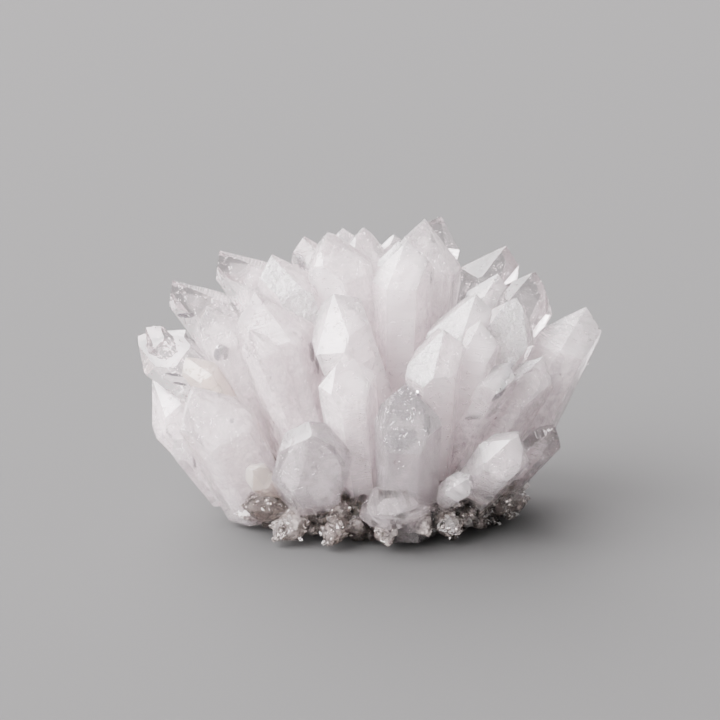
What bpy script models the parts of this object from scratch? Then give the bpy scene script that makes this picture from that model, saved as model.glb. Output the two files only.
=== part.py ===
"""Quartz cluster on its matrix: pointed quartz crystals that fan out from a low plate of rock.

The plate is a flat-bottomed lump of rock with a druse of small crystals fused round its rim.
The large crystals grow from its top into each other, so those that overlap are one solid.
Run it with: blender --background --python part.py
"""

import math
import random
from collections import namedtuple

import bmesh
import bpy
from mathutils import Matrix, Vector, noise

MM = 0.001

# The dome that the crystal tips stand on, as half-axes from the middle of the base.
DOME_HALF_WIDTH = 80 * MM
DOME_HALF_DEPTH = 64 * MM
DOME_HEIGHT = 101 * MM

# The front crystals are placed as they are seen from here, above the horizon.
SEEN_FROM = math.radians(15)
SEEN_ACROSS = Vector((1, 0, 0))
SEEN_UP = Vector((0, math.sin(SEEN_FROM), math.cos(SEEN_FROM)))
SEEN_TOWARD = Vector((0, -math.cos(SEEN_FROM), math.sin(SEEN_FROM)))

# Quartz's own angles: the faces of the tip stand this far from the crystal's axis.
TIP_FACE_TILT = math.radians(38.2)
SIDE_TAPER = math.radians(1.6)
SIDES = 6

# How uneven a crystal is: how far each side stands out, as a share of half the width, and how far every
# second face of the tip is held back, as a share of the width.
SIDE_REACH = (0.88, 1.08)
HELD_BACK = 0.22
HELD_BACK_SPREAD = 0.10

# The block that a crystal is cut from: how many crystal widths it is across, and past each end.
BLOCK_ACROSS = 4
BLOCK_PAST_END = 2
SAME_PLACE = 1e-7

# Most axes start low in the middle: their height there, and their depth as a share of the tip's.
ROOT = (9 * MM, 0.42)
ROOT_OF = {
    "front_round": (20 * MM, 0.30),
    "front_clear": (8 * MM, 0.62),
    "front_middle": (9 * MM, 0.50),
    "front_foot": (13 * MM, 0.45),
    "foot_beige": (17 * MM, 0.60),
}
FIT_GAP = 0.3 * MM

# The plate's outline from its foot to its crown: radius, height.
PLATE_OUTLINE = (
    (36 * MM, 0),
    (41 * MM, 2.5 * MM),
    (45 * MM, 6 * MM),
    (47 * MM, 10 * MM),
    (45 * MM, 14 * MM),
    (36 * MM, 17.5 * MM),
    (18 * MM, 19 * MM),
)
PLATE_CROWN = 19.5 * MM
PLATE_MIDDLE = Vector((4 * MM, 0, 0))
PLATE_DEPTH_SHARE = 0.9
PLATE_SEGMENTS = 36
PLATE_WIDEST_RING = 3
PLATE_LUMP = 2.2 * MM
PLATE_LUMP_SIZE = 14 * MM
PLATE_TOP_LUMP_SHARE = 0.5

# The druse round the plate's rim, as rows of small crystals: their count, the height they grow at, how far
# they rise above the horizon, their length and their width.
DruseRow = namedtuple("DruseRow", "name count height rise length width")
DRUSE_ROWS = (
    DruseRow("druse_low", 40, 4.0 * MM, -8, 7.0 * MM, 5.0 * MM),
    DruseRow("druse_middle", 34, 8.5 * MM, 6, 8.5 * MM, 6.5 * MM),
    DruseRow("druse_high", 28, 13.5 * MM, 24, 8.5 * MM, 6.5 * MM),
)

# The larger crystals of the druse that are seen: the tip's place in mm, and the width in mm.
DRUSE_TIPS = (
    (-31, -46, 3.5, 10),
    (-41, -39, 13, 9),
    (51, -17, 8, 8),
    (36, -38, 6, 5),
    (54, -5, 9, 5),
    (31, -45, 5, 8),
    (21, -50, 6, 9),
    (7, -53, 4, 7),
    (-13, -52, 4, 8),
    (-44, -28, 7, 7),
)
DRUSE_ROOT_DEPTH = 4 * MM
DRUSE_TIP_ROOT = 0.7

# How uneven the druse is: shares of the step round the rim, degrees of rise and turn, mm of height, and
# shares of length and width. Then the roll, lead and chisel of the tips placed by hand.
DRUSE_STEP_SCATTER = 0.35
DRUSE_RISE_SCATTER = 16
DRUSE_TURN_SCATTER = 22
DRUSE_HEIGHT_SCATTER = 1.2
DRUSE_LENGTH_SPREAD = (0.6, 1.25)
DRUSE_WIDTH_SPREAD = (0.65, 1.3)
DRUSE_CHISEL = 0.2
DRUSE_TIP_HABIT = (10, 0, 0.3)

# Each crystal that reaches down to the ground ends a little above it, at a height of its own.
FLOOR_GAP = (0.6 * MM, 2.4 * MM)

# across, up: where the tip is seen, in mm from the middle of the base.
# lean: degrees from upright, to the right.
# width: mm across the flats.
# roll: degrees that a side face is turned from the viewer.
# lead: the way that the largest face of the tip looks, in degrees from the viewer to the right.
# chisel: how far that face outgrows the others.
# back: mm behind the dome's skin.
Point = namedtuple("Point", "name across up lean width roll lead chisel back")

SEEN_POINTS = (
    Point("spire", -13, 95, -13, 22, 28, 50, 0.15, -6),
    Point("crown_middle", -1, 97, 2, 15, 25, 30, 0.10, 8),
    Point("crown_small", -8, 97, -4, 11, 10, 0, 0.25, 20),
    Point("crown_left", -21, 94, -16, 15, 0, 60, 0.35, 8),
    Point("left_shoulder", -50, 89, -34, 21, 20, 70, 0.45, 0),
    Point("left_blunt", -32, 87, -20, 18, 5, 60, 0.35, -7),
    Point("left_clear", -66, 79, -34, 19, 20, 70, 0.50, -2),
    Point("left_inner", -54, 70, -20, 16, 10, 60, 0.35, 0),
    Point("far_left", -78, 60, -52, 19, 15, 20, 0.35, 0),
    Point("far_left_step", -75, 63, -46, 9, 0, -60, 0.30, -5),
    Point("left_beige", -61, 53, -36, 11, 0, 60, 0.30, 0),
    Point("left_low", -73, 45, -42, 17, 0, -60, 0.50, 3),
    Point("front_left", -58, 43, -28, 23, 8, 40, 0.30, -2),
    Point("left_foot", -64, 25, -40, 9, 20, 0, 0.30, 6),
    Point("left_broad", -37, 75, -17, 25, 0, 80, 0.30, -2),
    Point("left_slim", -39, 62, -24, 12, 10, 60, 0.30, -2),
    Point("middle_left", -11, 74, -22, 21, 28, -60, 0.30, -2),
    Point("front_middle", -7, 54, -8, 18, 5, 0, 0.35, -2),
    Point("front_clear", 13, 44, 0, 20, -5, 0, 0.45, -3),
    Point("front_round", -18, 27, 0, 25, 10, 0, 0.70, -4),
    Point("front_foot", 0, 1, -60, 14, 10, 0, 0.40, -2),
    Point("foot_beige", -38, 15, -72, 9, 20, 0, 0.30, 6),
    Point("foot_lying", 34, 12, 75, 9, 20, 0, 0.30, 0),
    Point("crown_bright", 11, 92, 4, 11, 10, 0, 0.35, 6),
    Point("crown_right", 14, 92, 1, 19, 0, -30, 0.25, -4),
    Point("right_spire", 20, 100, 4, 23, 15, 70, 0.35, 2),
    Point("right_behind", 26, 101, 14, 15, 0, 60, 0.15, 16),
    Point("right_dark", 48, 91, 22, 18, 10, -50, 0.25, 8),
    Point("right_inner", 45, 81, 18, 12, 10, -60, 0.30, 0),
    Point("right_frosted", 37, 74, 12, 20, 20, -60, 0.40, -2),
    Point("right_kite", 51, 73, 22, 20, 10, 10, 0.40, -2),
    Point("middle_right", 26, 62, 3, 19, 15, -50, 0.30, -2),
    Point("middle_shaft", 38, 65, 8, 16, 0, -50, 0.20, -2),
    Point("right_clear", 58, 82, 25, 18, 10, 0, 0.35, 2),
    Point("far_right", 75, 70, 24, 23, 20, -60, 0.35, 0),
    Point("right_low", 60, 53, 30, 20, 0, -60, 0.35, 0),
    Point("right_streaked", 48, 51, 30, 13, 0, -60, 0.20, -2),
    Point("right_front", 51, 26, 45, 15, 15, 0, 0.30, -4),
    Point("right_foot", 64, 29, 45, 11, 20, 0, 0.30, 4),
)

Row = namedtuple("Row", "name count first last rise reach width")

# The rows of the far side: azimuths in degrees round from the right, rise above the horizon, reach as a share
# of the dome.
BACK_ROWS = (
    Row("back_low", 7, 24, 160, 19, 0.94, 19),
    Row("back_middle", 6, 30, 158, 36, 0.98, 20),
    Row("back_upper", 6, 34, 150, 50, 0.98, 19),
    Row("back_high", 5, 40, 138, 64, 0.98, 18),
    Row("back_crown", 3, 62, 118, 76, 0.95, 14),
)

# How uneven those rows are: degrees of azimuth and rise, shares of reach and width, and the chisel's range.
AZIMUTH_SCATTER = 5
RISE_SCATTER = 6
REACH_SPREAD = (0.93, 1.04)
WIDTH_SPREAD = (0.8, 1.15)
CHISEL_SPREAD = (0.1, 0.5)

QUARTZ_COLOR = (0.86, 0.82, 0.85)
ROCK_COLOR = (0.30, 0.25, 0.23)
QUARTZ_IOR = 1.544


def seen_tip(point):
    """Where the line of sight meets the dome, or passes nearest to its middle if it misses."""
    flat = SEEN_ACROSS * point.across * MM + SEEN_UP * point.up * MM
    shrink = Vector((1 / DOME_HALF_WIDTH, 1 / DOME_HALF_DEPTH, 1 / DOME_HEIGHT))
    start, step = flat * shrink, SEEN_TOWARD * shrink
    nearest = -start.dot(step) / step.length_squared
    inside = nearest**2 - (start.length_squared - 1) / step.length_squared
    toward = nearest + math.sqrt(max(inside, 0)) - point.back * MM
    return flat + SEEN_TOWARD * toward


def seen_root(point, tip):
    """The foot of the axis, back along its lean to the top of the plate."""
    height, share = ROOT_OF.get(point.name, ROOT)
    rise = abs(point.up * MM - height)
    across = tip.x - math.tan(math.radians(point.lean)) * rise
    return Vector((across, share * tip.y, height))


class Crystal:
    """One six-sided quartz crystal, as the planes of its faces."""

    def __init__(self, name, root, tip, width, roll, lead, chisel):
        self.name = name
        self.width = width
        self.root = root
        self.axis = (tip - root).normalized()
        self.tip = tip
        self.grain = random.Random(name)
        self.floor = self.grain.uniform(*FLOOR_GAP)
        self.front = (SEEN_TOWARD - self.axis * SEEN_TOWARD.dot(self.axis)).normalized()
        self.right = self.front.cross(self.axis) * -1
        self.sides = self.side_planes(math.radians(roll))
        self.tips = self.tip_planes(math.radians(roll), math.radians(lead), chisel)

    def outward(self, angle):
        return self.front * math.cos(angle) + self.right * math.sin(angle)

    def side_planes(self, roll):
        planes = []
        for k in range(SIDES):
            flat = self.outward(roll + k * math.tau / SIDES)
            reach = self.width / 2 * self.grain.uniform(*SIDE_REACH)
            normal = flat * math.cos(SIDE_TAPER) - self.axis * math.sin(SIDE_TAPER)
            planes.append((self.tip + flat * reach, normal))
        return planes

    def tip_planes(self, roll, lead, chisel):
        planes = []
        for k in range(SIDES):
            angle = roll + k * math.tau / SIDES
            flat = self.outward(angle)
            away = (1 - math.cos(angle - lead)) / 2
            held_back = (HELD_BACK if k % 2 else 0.0) + self.grain.uniform(0.0, HELD_BACK_SPREAD)
            rise = self.width * (chisel * away + held_back * min(1.0, 2 * away))
            normal = flat * math.cos(TIP_FACE_TILT) + self.axis * math.sin(TIP_FACE_TILT)
            planes.append((self.tip + self.axis * rise, normal))
        return planes

    def solid(self, grow=0.0):
        """A bmesh of the crystal, with every face moved out by grow."""
        bm = bmesh.new()
        bmesh.ops.create_cube(bm, size=1.0)
        across = BLOCK_ACROSS * self.width
        length = (self.tip - self.root).length + BLOCK_PAST_END * self.width
        turn = self.axis.to_track_quat("Z", "Y").to_matrix().to_4x4()
        size = Matrix.Diagonal((across, across, 2 * length, 1))
        bmesh.ops.transform(bm, matrix=Matrix.Translation(self.tip) @ turn @ size, verts=bm.verts)
        for point, normal in [*self.sides, *self.tips, (self.root, -self.axis)]:
            cut_off(bm, point + normal * grow, normal)
        if not grow:
            top = max((v.co for v in bm.verts), key=lambda co: co.dot(self.axis))
            self.slide = self.tip - top
        bmesh.ops.translate(bm, vec=self.slide, verts=bm.verts)
        cut_off(bm, Vector((0, 0, self.floor - grow)), Vector((0, 0, -1)))
        bmesh.ops.recalc_face_normals(bm, faces=bm.faces)
        return bm


def cut_off(bm, point, normal):
    """Slices away what lies outside a plane, and closes the cut with one flat face."""
    everything = [*bm.verts, *bm.edges, *bm.faces]
    bmesh.ops.bisect_plane(
        bm, geom=everything, dist=SAME_PLACE, plane_co=point, plane_no=normal, clear_outer=True
    )
    rim = [edge for edge in bm.edges if edge.is_boundary]
    bmesh.ops.holes_fill(bm, edges=rim, sides=0)


def seen_crystals():
    crystals = []
    for point in SEEN_POINTS:
        tip = seen_tip(point)
        root = seen_root(point, tip)
        crystals.append(
            Crystal(point.name, root, tip, point.width * MM, point.roll, point.lead, point.chisel)
        )
    return crystals


def back_crystals():
    crystals = []
    for row in BACK_ROWS:
        grain = random.Random(row.name)
        for k in range(row.count):
            share = k / (row.count - 1)
            azimuth = row.first + (row.last - row.first) * share
            around = math.radians(azimuth + grain.uniform(-AZIMUTH_SCATTER, AZIMUTH_SCATTER))
            rise = math.radians(row.rise + grain.uniform(-RISE_SCATTER, RISE_SCATTER))
            heading = heading_of(around, rise)
            reach = row.reach * grain.uniform(*REACH_SPREAD)
            tip = heading * reach / dome_stretch(heading)
            root = Vector((ROOT[1] * tip.x, ROOT[1] * tip.y, ROOT[0]))
            width = row.width * grain.uniform(*WIDTH_SPREAD) * MM
            roll, lead = grain.uniform(0, 360 / SIDES), grain.uniform(0, 360)
            name = f"{row.name}_{k + 1}"
            crystals.append(Crystal(name, root, tip, width, roll, lead, grain.uniform(*CHISEL_SPREAD)))
    return crystals


def heading_of(around, rise):
    return Vector((math.cos(around) * math.cos(rise), math.sin(around) * math.cos(rise), math.sin(rise)))


def dome_stretch(heading):
    return math.sqrt(
        (heading.x / DOME_HALF_WIDTH) ** 2
        + (heading.y / DOME_HALF_DEPTH) ** 2
        + (heading.z / DOME_HEIGHT) ** 2
    )


def druse_crystals():
    crystals = []
    for row in DRUSE_ROWS:
        grain = random.Random(row.name)
        for k in range(row.count):
            step = grain.uniform(-DRUSE_STEP_SCATTER, DRUSE_STEP_SCATTER)
            around = 2 * math.pi * (k + step) / row.count
            rise = math.radians(row.rise + grain.uniform(-DRUSE_RISE_SCATTER, DRUSE_RISE_SCATTER))
            height = row.height + grain.uniform(-DRUSE_HEIGHT_SCATTER, DRUSE_HEIGHT_SCATTER) * MM
            skin = plate_point(around, height)
            turn = math.radians(grain.uniform(-DRUSE_TURN_SCATTER, DRUSE_TURN_SCATTER))
            heading = heading_of(around + turn, rise)
            length = row.length * grain.uniform(*DRUSE_LENGTH_SPREAD)
            width = row.width * grain.uniform(*DRUSE_WIDTH_SPREAD)
            root = skin - heading * DRUSE_ROOT_DEPTH
            roll, lead = grain.uniform(0, 360 / SIDES), grain.uniform(0, 360)
            name = f"{row.name}_{k + 1}"
            tip = skin + heading * length
            crystals.append(Crystal(name, root, tip, width, roll, lead, DRUSE_CHISEL))
    for number, (x, y, z, width) in enumerate(DRUSE_TIPS):
        tip = Vector((x, y, z)) * MM
        root = PLATE_MIDDLE + (tip - PLATE_MIDDLE) * DRUSE_TIP_ROOT
        root.z = PLATE_OUTLINE[PLATE_WIDEST_RING][1]
        crystals.append(Crystal(f"druse_tip_{number + 1}", root, tip, width * MM, *DRUSE_TIP_HABIT))
    return crystals


def plate_radius(height):
    """The plate's radius at a height, read along its outline."""
    for (low_radius, low), (high_radius, high) in zip(PLATE_OUTLINE, PLATE_OUTLINE[1:]):
        if low <= height <= high:
            return low_radius + (high_radius - low_radius) * (height - low) / (high - low)
    return PLATE_OUTLINE[-1][0]


def plate_lump(around, height):
    widest = PLATE_OUTLINE[PLATE_WIDEST_RING][0]
    place = Vector((math.cos(around) * widest, math.sin(around) * widest, height))
    return PLATE_LUMP * noise.noise(place / PLATE_LUMP_SIZE)


def plate_point(around, height, grow=0.0):
    reach = plate_radius(height) + plate_lump(around, height) + grow
    flat = Vector((math.cos(around) * reach, math.sin(around) * reach * PLATE_DEPTH_SHARE, height))
    return PLATE_MIDDLE + flat


def plate_solid(grow=0.0):
    """The lump of rock: rings of points up its outline, flat below and domed above."""
    bm = bmesh.new()
    rings = []
    for number, (_, height) in enumerate(PLATE_OUTLINE):
        ring = []
        for k in range(PLATE_SEGMENTS):
            around = 2 * math.pi * k / PLATE_SEGMENTS
            point = plate_point(around, height, grow)
            if number == 0:
                point.z -= grow
            if number > PLATE_WIDEST_RING:
                point.z += grow
                point.z += PLATE_TOP_LUMP_SHARE * plate_lump(around + number, height)
            ring.append(bm.verts.new(point))
        rings.append(ring)
    for low, high in zip(rings, rings[1:]):
        bmesh.ops.bridge_loops(bm, edges=closed_loop(bm, low) + closed_loop(bm, high))
    bm.faces.new(list(reversed(rings[0])))
    crown = bm.verts.new(PLATE_MIDDLE + Vector((0, 0, PLATE_CROWN + grow)))
    for k, vert in enumerate(rings[-1]):
        bm.faces.new((vert, rings[-1][(k + 1) % PLATE_SEGMENTS], crown))
    sides = [face for face in bm.faces if len(face.verts) == 4]
    bmesh.ops.triangulate(bm, faces=sides, quad_method="FIXED")
    bmesh.ops.recalc_face_normals(bm, faces=bm.faces)
    return bm


def closed_loop(bm, ring):
    edges = []
    for vert, following in zip(ring, ring[1:] + ring[:1]):
        edge = bm.edges.get((vert, following))
        edges.append(edge if edge else bm.edges.new((vert, following)))
    return edges


def clear_scene():
    for obj in list(bpy.data.objects):
        bpy.data.objects.remove(obj)


def new_collection(name):
    made = bpy.data.collections.new(name)
    bpy.context.scene.collection.children.link(made)
    return made


def hidden_collection(name, solids):
    """The solids as wire objects that never render, to join or to cut with."""
    made = new_collection(name)
    for number, bm in enumerate(solids):
        obj = object_from(bm, f"{name}_{number + 1}", made)
        obj.hide_render = True
        obj.display_type = "WIRE"
    return made


def object_from(bm, name, collection):
    mesh = bpy.data.meshes.new(name)
    bm.to_mesh(mesh)
    bm.free()
    made = bpy.data.objects.new(name, mesh)
    collection.objects.link(made)
    return made


def combine(obj, operation, others):
    """Runs one Boolean on an object with everything in a hidden collection."""
    step = obj.modifiers.new(operation.lower(), "BOOLEAN")
    step.operation = operation
    step.operand_type = "COLLECTION"
    step.collection = others
    step.solver = "EXACT"
    shape = obj.evaluated_get(bpy.context.evaluated_depsgraph_get())
    result = bpy.data.meshes.new_from_object(shape)
    obj.modifiers.clear()
    obj.data = result


def keep_largest(obj):
    """Drops chips and inner hollows, which leaves the one outer skin."""
    bm = bmesh.new()
    bm.from_mesh(obj.data)
    bmesh.ops.remove_doubles(bm, verts=bm.verts, dist=SAME_PLACE)
    islands = skins_of(bm)
    islands.sort(key=len)
    spare = [face for faces in islands[:-1] for face in faces]
    bmesh.ops.delete(bm, geom=spare, context="FACES")
    bm.to_mesh(obj.data)
    bm.free()
    return len(islands)


def skins_of(bm):
    """The groups of faces that hang together."""
    left = set(bm.faces)
    groups = []
    while left:
        waiting = [left.pop()]
        group = []
        while waiting:
            face = waiting.pop()
            group.append(face)
            for edge in face.edges:
                for other in edge.link_faces:
                    if other in left:
                        left.remove(other)
                        waiting.append(other)
        groups.append(group)
    return groups


def material(name, color, roughness, transmission):
    made = bpy.data.materials.new(name)
    made.use_nodes = True
    shader = made.node_tree.nodes["Principled BSDF"]
    shader.inputs["Base Color"].default_value = (*color, 1)
    shader.inputs["Roughness"].default_value = roughness
    shader.inputs["Transmission Weight"].default_value = transmission
    shader.inputs["IOR"].default_value = QUARTZ_IOR
    return made


def build_cluster(collection):
    crystals = seen_crystals() + back_crystals()
    first, *rest = [crystal.solid() for crystal in crystals]
    cluster = object_from(first, "crystal_cluster", collection)
    combine(cluster, "UNION", hidden_collection("crystals_to_join", rest))
    combine(cluster, "DIFFERENCE", hidden_collection("plate_seat", [plate_solid(FIT_GAP)]))
    print("cluster skins", keep_largest(cluster))
    cluster.data.materials.clear()
    cluster.data.materials.append(material("quartz", QUARTZ_COLOR, roughness=0.15, transmission=0.6))
    return crystals


def build_matrix(collection, crystals):
    first, *rest = [crystal.solid() for crystal in druse_crystals()]
    druse = object_from(first, "druse_crystals", hidden_collection("druse", []))
    druse.hide_render = True
    combine(druse, "UNION", hidden_collection("druse_to_join", rest))
    sockets = [crystal.solid(FIT_GAP) for crystal in crystals]
    combine(druse, "DIFFERENCE", hidden_collection("crystal_sockets", sockets))
    matrix = object_from(plate_solid(), "matrix", collection)
    combine(matrix, "UNION", druse.users_collection[0])
    print("matrix skins", keep_largest(matrix))
    matrix.data.materials.clear()
    matrix.data.materials.append(material("matrix", ROCK_COLOR, roughness=0.7, transmission=0.0))


def centre_on_origin(collection):
    """Puts the foot of the whole on the origin, in the middle of its box."""
    corners = [v.co for obj in collection.objects for v in obj.data.vertices]
    low = Vector(min(co[axis] for co in corners) for axis in range(3))
    high = Vector(max(co[axis] for co in corners) for axis in range(3))
    middle = (low + high) / 2
    for obj in collection.objects:
        obj.data.transform(Matrix.Translation((-middle.x, -middle.y, -low.z)))
    print("size in mm", [round((b - a) / MM, 1) for a, b in zip(low, high)])
    print("moved by mm", [round(-value / MM, 2) for value in (middle.x, middle.y, low.z)])


def main():
    clear_scene()
    whole = new_collection("quartz_on_matrix")
    crystals = build_cluster(whole)
    build_matrix(whole, crystals)
    centre_on_origin(whole)
    for obj in whole.objects:
        print(obj.name, "triangles", sum(len(face.vertices) - 2 for face in obj.data.polygons))


main()
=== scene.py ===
# %% [markdown]
# # Quartz on matrix
# A cluster of quartz points that fan out from a low plate of rock. Quartz is a clear mineral that is
# white where tiny bubbles and cracks fill it, so most of the work here is to give clear crystals their
# milk: a glassy skin, with clouds, veils and small bright gaps inside it.

import math
import random
from collections import namedtuple

import bmesh
import bpy
from mathutils import Matrix, Vector, noise
from mathutils.bvhtree import BVHTree


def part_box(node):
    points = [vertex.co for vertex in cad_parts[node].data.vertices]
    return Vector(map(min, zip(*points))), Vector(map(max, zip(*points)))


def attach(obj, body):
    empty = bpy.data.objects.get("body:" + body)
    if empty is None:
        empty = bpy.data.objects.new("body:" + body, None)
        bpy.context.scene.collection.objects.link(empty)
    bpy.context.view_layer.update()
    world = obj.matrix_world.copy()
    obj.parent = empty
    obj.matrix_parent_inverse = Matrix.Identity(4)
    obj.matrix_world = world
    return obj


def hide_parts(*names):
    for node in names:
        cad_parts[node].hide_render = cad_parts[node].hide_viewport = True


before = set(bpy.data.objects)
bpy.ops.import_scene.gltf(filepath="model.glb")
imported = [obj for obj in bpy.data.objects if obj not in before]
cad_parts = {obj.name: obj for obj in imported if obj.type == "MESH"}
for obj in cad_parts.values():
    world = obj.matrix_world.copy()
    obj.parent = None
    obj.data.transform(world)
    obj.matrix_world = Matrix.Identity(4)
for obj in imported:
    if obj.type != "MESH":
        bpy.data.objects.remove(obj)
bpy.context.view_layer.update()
MM = 0.001
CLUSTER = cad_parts["crystal_cluster"]
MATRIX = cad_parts["matrix"]

# %% [markdown]
# ## How a quartz crystal is shaped
# A quartz point is a six-sided prism that ends in six tilted faces. It is made here as a block that is
# sliced by the planes of its faces, which keeps every face flat and every edge sharp. The same crystal can
# be made smaller by moving all its planes inward, and that is how the clouds inside follow its shape.

# %% Crystals from planes
SEEN_FROM = math.radians(15)
SEEN_ACROSS = Vector((1, 0, 0))
SEEN_UP = Vector((0, math.sin(SEEN_FROM), math.cos(SEEN_FROM)))
SEEN_TOWARD = Vector((0, -math.cos(SEEN_FROM), math.sin(SEEN_FROM)))
DOME_HALF_WIDTH = 80 * MM
DOME_HALF_DEPTH = 64 * MM
DOME_HEIGHT = 101 * MM
TIP_FACE_TILT = math.radians(38.2)
SIDE_TAPER = math.radians(1.6)
SIDES = 6
# How uneven a crystal is: the reach of each side as a share of half the width, and how far every second face
# of the tip is held back, as a share of the width.
SIDE_REACH = (0.88, 1.08)
HELD_BACK = 0.22
HELD_BACK_SPREAD = 0.10
# The block that a crystal is cut from, in widths of the crystal.
BLOCK_ACROSS = 4
BLOCK_PAST_END = 2
SAME_PLACE = 1e-7
FLOOR_GAP = (0.6 * MM, 2.4 * MM)


def cut_off(bm, point, normal):
    """Slices away what lies outside a plane, and closes the cut with one flat face."""
    everything = [*bm.verts, *bm.edges, *bm.faces]
    bmesh.ops.bisect_plane(
        bm, geom=everything, dist=SAME_PLACE, plane_co=point, plane_no=normal, clear_outer=True
    )
    rim = [edge for edge in bm.edges if edge.is_boundary]
    bmesh.ops.holes_fill(bm, edges=rim, sides=0)


class Crystal:
    """One six-sided quartz crystal, as the planes of its faces."""

    def __init__(self, name, root, tip, width, roll, lead, chisel):
        self.name = name
        self.width = width
        self.root = root
        self.axis = (tip - root).normalized()
        self.tip = tip
        self.grain = random.Random(name)
        self.floor = self.grain.uniform(*FLOOR_GAP)
        self.front = (SEEN_TOWARD - self.axis * SEEN_TOWARD.dot(self.axis)).normalized()
        self.right = self.front.cross(self.axis) * -1
        self.sides = self.side_planes(math.radians(roll))
        self.tips = self.tip_planes(math.radians(roll), math.radians(lead), chisel)
        self.slide = Vector((0, 0, 0))
        self.slide = self.tip - max(self.corners(), key=lambda co: co.dot(self.axis))

    def outward(self, angle):
        return self.front * math.cos(angle) + self.right * math.sin(angle)

    def side_planes(self, roll):
        planes = []
        for k in range(SIDES):
            flat = self.outward(roll + k * math.tau / SIDES)
            reach = self.width / 2 * self.grain.uniform(*SIDE_REACH)
            normal = flat * math.cos(SIDE_TAPER) - self.axis * math.sin(SIDE_TAPER)
            planes.append((self.tip + flat * reach, normal))
        return planes

    def tip_planes(self, roll, lead, chisel):
        planes = []
        for k in range(SIDES):
            angle = roll + k * math.tau / SIDES
            flat = self.outward(angle)
            away = (1 - math.cos(angle - lead)) / 2
            held_back = (HELD_BACK if k % 2 else 0.0) + self.grain.uniform(0.0, HELD_BACK_SPREAD)
            rise = self.width * (chisel * away + held_back * min(1.0, 2 * away))
            normal = flat * math.cos(TIP_FACE_TILT) + self.axis * math.sin(TIP_FACE_TILT)
            planes.append((self.tip + self.axis * rise, normal))
        return planes

    def solid(self, grow=0.0):
        """A bmesh of the crystal, with every face moved out by grow, or in where that is negative."""
        bm = bmesh.new()
        bmesh.ops.create_cube(bm, size=1.0)
        across = BLOCK_ACROSS * self.width
        length = (self.tip - self.root).length + BLOCK_PAST_END * self.width
        turn = self.axis.to_track_quat("Z", "Y").to_matrix().to_4x4()
        size = Matrix.Diagonal((across, across, 2 * length, 1))
        bmesh.ops.transform(bm, matrix=Matrix.Translation(self.tip) @ turn @ size, verts=bm.verts)
        for point, normal in [*self.sides, *self.tips, (self.root, -self.axis)]:
            cut_off(bm, point + normal * grow, normal)
        bmesh.ops.translate(bm, vec=self.slide, verts=bm.verts)
        cut_off(bm, Vector((0, 0, self.floor - grow)), Vector((0, 0, -1)))
        bmesh.ops.recalc_face_normals(bm, faces=bm.faces)
        return bm

    def corners(self):
        bm = self.solid()
        places = [vert.co.copy() for vert in bm.verts]
        bm.free()
        return places

    def planes(self):
        """The planes of all its side and tip faces, where they lie before the model is centred."""
        return [(point + self.slide, normal) for point, normal in [*self.sides, *self.tips]]

    def depth(self, place):
        """How far inside its faces a place lies; below zero it is outside."""
        inside = min((point - place).dot(normal) for point, normal in self.planes())
        return min(inside, place.z - self.floor, (place - self.root).dot(self.axis))

    def share(self, place):
        """How far up the crystal a place lies, from 0 at its root to 1 at its tip."""
        return (place - self.root).dot(self.axis) / (self.tip - self.root).length


# %% [markdown]
# ## Where the crystals stand
# The tips stand on a dome. Those of the near side are placed by where they are seen, and those of the far
# side fill the dome in rows.

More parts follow.
